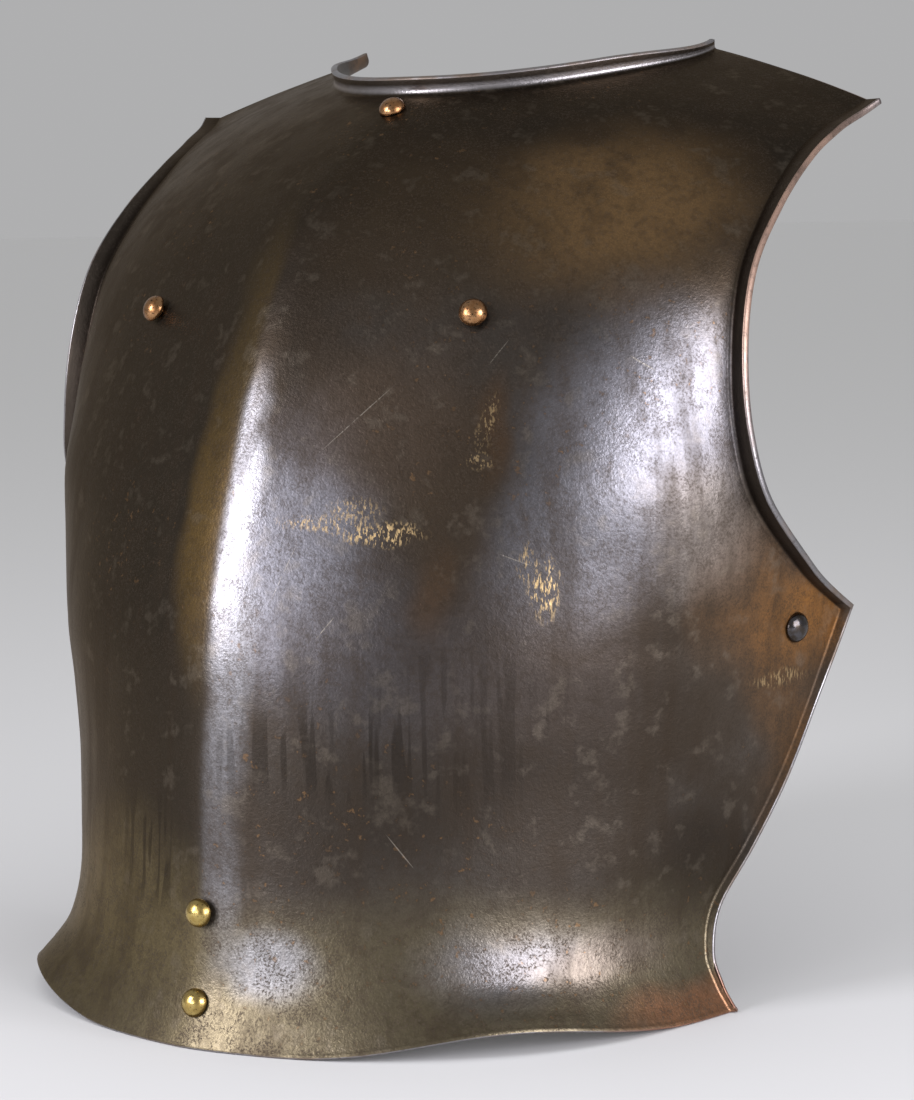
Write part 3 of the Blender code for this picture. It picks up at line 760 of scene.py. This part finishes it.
def make_edge_finish():
    """Cut edge of the plate: worn and handled, lighter than the faces, with rust left in it."""
    f = Finish("worn_edge")
    patches = f.noise(38, 3.0, 0.6)
    ragged = f.wavering(0.012, 30)
    colour = f.mix(f.span(patches, 0.42, 0.66), (0.225, 0.215, 0.220), (0.150, 0.115, 0.092))
    for centre, radii, tone in (
        ((0.172, 0.060, 0.335), (0.040, 0.100, 0.085), (0.300, 0.190, 0.140)),
        ((0.166, 0.000, 0.004), (0.045, 0.050, 0.016), (0.300, 0.140, 0.085)),
    ):
        colour = f.mix(f.math("MULTIPLY", f.patch(ragged, centre, radii, 0.4), 0.85), colour, tone)
    colour = f.mix(f.span(f.noise(400, 3.0, 0.7), 0.55, 0.70, 0.0, 0.6), colour, (0.060, 0.046, 0.036))
    f.set("Base Color", colour)
    f.set("Metallic", f.span(patches, 0.4, 0.62, 0.9, 0.6))
    f.set("Roughness", f.span(patches, 0.35, 0.65, 0.30, 0.48))
    f.set("Normal", f.bump(f.noise(350, 3.0, 0.6), 0.25, 0.0004))
    return f.material


def make_inside_finish():
    """Inside of the plate: dull, brown and rusted in blooms, with the marks of the hammer."""
    f = Finish("rough_inside")
    blooms = f.noise(17, 5.0, 0.62)
    spots = f.noise(140, 5.0, 0.7)
    colour = f.mix(f.span(blooms, 0.38, 0.64), (0.062, 0.051, 0.042), (0.120, 0.070, 0.038))
    colour = f.mix(f.span(spots, 0.50, 0.66, 0.0, 0.6), colour, (0.032, 0.025, 0.020))
    colour = f.mix(f.span(spots, 0.42, 0.26, 0.0, 0.5), colour, (0.150, 0.126, 0.104))
    f.set("Base Color", colour)
    f.set("Metallic", f.span(blooms, 0.4, 0.65, 0.85, 0.45))
    f.set("Roughness", f.span(blooms, 0.35, 0.65, 0.42, 0.62))
    normal = f.bump(f.cells(42, f.wavering(0.006, 40)), 0.35, 0.0012)
    f.set("Normal", f.bump(spots, 0.25, 0.0004, normal))
    return f.material


def make_brass_finish(name, light, deep, tarnish, speck):
    """Stud brass: light and deep brass in clouds, with tarnished specks."""
    f = Finish(name)
    cloud = f.noise(330, 4.0, 0.6)
    colour = f.mix(f.span(cloud, 0.38, 0.62), light, deep)
    colour = f.mix(f.span(f.noise(900, 3.0, 0.6), 0.60 - 0.06 * speck, 0.68), colour, tarnish)
    f.set("Base Color", colour)
    f.set("Metallic", 1.0)
    f.set("Roughness", f.span(cloud, 0.35, 0.65, 0.20, 0.34))
    f.set("Normal", f.bump(f.noise(700, 3.0, 0.6), 0.22, 0.0003))
    return f.material


def make_rivet_finish():
    f = Finish("dark_rivet")
    cloud = f.noise(300, 4.0, 0.6)
    f.set("Base Color", f.mix(f.span(cloud, 0.35, 0.62), (0.095, 0.090, 0.096), (0.058, 0.048, 0.040)))
    f.set("Metallic", 1.0)
    f.set("Roughness", f.span(cloud, 0.35, 0.65, 0.15, 0.28))
    f.set("Normal", f.bump(f.noise(600, 3.0, 0.6), 0.22, 0.0003))
    return f.material


def make_floor_finish():
    f = Finish("pale_floor")
    f.set("Base Color", FLOOR_TONE)
    f.set("Roughness", 0.75)
    return f.material


# Pieces


plate = make_plate([make_plate_finish(), make_edge_finish(), make_inside_finish()])
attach(plate, "root")
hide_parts("breastplate")

copper = make_brass_finish(
    "coppery_brass_worn", (0.400, 0.225, 0.110), (0.300, 0.145, 0.060), (0.050, 0.030, 0.020), 1.0
)
yellow = make_brass_finish(
    "yellow_brass_worn", (0.520, 0.390, 0.140), (0.400, 0.280, 0.090), (0.130, 0.090, 0.036), 0.2
)
dark = make_rivet_finish()
armpit = on_section(section_curve(ARMPIT), 1.0)[2]
neck = on_section(section_curve(NECK), 0.0)[2]
neck_place = plate_place(neck - NECK_STUD_DROP, share_at_out, 0.0)
chest_place = plate_place(CHEST_STUD_UP, share_at_out, CHEST_STUD_OUT)
side_place = plate_place(armpit - SIDE_RIVET_DROP, share_at_inset, SIDE_RIVET_INSET)
waist_place = plate_place(WAIST_STUD_UP, share_at_out, 0.0)
skirt_place = plate_place(SKIRT_STUD_UP, share_at_out, 0.0)
studs = [
    make_stud("neck_boss", "neck_stud", neck_place, STUD_HEAD, 0, copper, seed=1),
    make_stud("chest_boss_left", "chest_stud_left", chest_place, STUD_HEAD, STUD_STANDOFF, copper, seed=2),
    make_stud(
        "chest_boss_right", "chest_stud_right", chest_place, STUD_HEAD, STUD_STANDOFF, copper, side=-1, seed=3
    ),
    make_stud("side_boss_left", "side_rivet_left", side_place, RIVET_HEAD, 0, dark, seed=4),
    make_stud("side_boss_right", "side_rivet_right", side_place, RIVET_HEAD, 0, dark, -1, seed=5),
    make_stud("waist_boss", "waist_stud", waist_place, STUD_HEAD, STUD_STANDOFF, yellow, seed=6),
    make_stud("skirt_boss", "skirt_stud", skirt_place, STUD_HEAD, 0, yellow, seed=7),
]


# Floor, light and camera


def make_floor():
    bm = bmesh.new()
    bmesh.ops.create_circle(bm, cap_ends=True, segments=96, radius=FLOOR_RADIUS)
    mesh = bpy.data.meshes.new("studio_floor")
    bm.to_mesh(mesh)
    bm.free()
    mesh.materials.append(make_floor_finish())
    floor = bpy.data.objects.new("studio_floor", mesh)
    bpy.context.scene.collection.objects.link(floor)


def add_softbox(name, azimuth, elevation, size, power):
    """A softbox aimed at the plate. Azimuth 0 is in front of the ridge, and 90 at the wearer's left."""
    a, e = math.radians(azimuth), math.radians(elevation)
    away = Vector((math.sin(a) * math.cos(e), -math.cos(a) * math.cos(e), math.sin(e)))
    data = bpy.data.lights.new(name, "AREA")
    data.shape = "RECTANGLE"
    data.size, data.size_y = size
    data.energy = power
    data.color = SOFTBOX_COLOUR
    obj = bpy.data.objects.new(name, data)
    obj.location = Vector(SOFTBOX_TARGET) + away * SOFTBOX_DISTANCE
    obj.rotation_euler = away.to_track_quat("Z", "Y").to_euler()
    obj.visible_camera = False
    bpy.context.scene.collection.objects.link(obj)


def add_floor_light():
    """Even light from above for the floor. The metal does not mirror it."""
    data = bpy.data.lights.new("overhead", "SUN")
    data.energy = OVERHEAD_STRENGTH
    data.angle = math.radians(OVERHEAD_SPREAD)
    obj = bpy.data.objects.new("overhead", data)
    obj.rotation_euler = [math.radians(angle) for angle in OVERHEAD_TIP]
    obj.visible_glossy = False
    bpy.context.scene.collection.objects.link(obj)


def make_world():
    """A plain pale room, a little paler where the camera looks straight at it, to meet the floor."""
    world = bpy.data.worlds.new("studio")
    world.use_nodes = True
    tree = world.node_tree
    background = tree.nodes["Background"]
    background.inputs["Color"].default_value = ROOM_TONE
    pale = tree.nodes.new("ShaderNodeBackground")
    pale.inputs["Color"].default_value = BACKDROP_TONE
    path = tree.nodes.new("ShaderNodeLightPath")
    pick = tree.nodes.new("ShaderNodeMixShader")
    tree.links.new(path.outputs["Is Camera Ray"], pick.inputs[0])
    tree.links.new(background.outputs[0], pick.inputs[1])
    tree.links.new(pale.outputs[0], pick.inputs[2])
    tree.links.new(pick.outputs[0], tree.nodes["World Output"].inputs["Surface"])
    bpy.context.scene.world = world


def make_camera():
    """The photograph's view: turned 33 degrees from the ridge, 1.4 m away, tipped 7 degrees down."""
    pitch, roll = math.radians(CAMERA_PITCH), math.radians(CAMERA_ROLL)
    level = Vector(CAMERA_HEADING).normalized()
    forward = (level * math.cos(pitch) - Vector((0, 0, math.sin(pitch)))).normalized()
    right = Vector((level.y, -level.x, 0))
    up = right.cross(forward)
    turned_right = right * math.cos(roll) + up * math.sin(roll)
    turned_up = up * math.cos(roll) - right * math.sin(roll)
    turn = Matrix((turned_right, turned_up, -forward)).transposed()
    data = bpy.data.cameras.new("photo_view")
    data.lens = CAMERA_LENS
    data.sensor_fit = "AUTO"
    data.sensor_width = 36
    data.clip_end = 60
    camera = bpy.data.objects.new("photo_view", data)
    camera.matrix_world = Matrix.Translation(CAMERA_PLACE) @ turn.to_4x4()
    bpy.context.scene.collection.objects.link(camera)
    bpy.context.scene.camera = camera


make_floor()
make_world()
make_camera()
for softbox in SOFTBOXES:
    add_softbox(*softbox)
add_floor_light()
bpy.context.scene.view_settings.view_transform = "Standard"
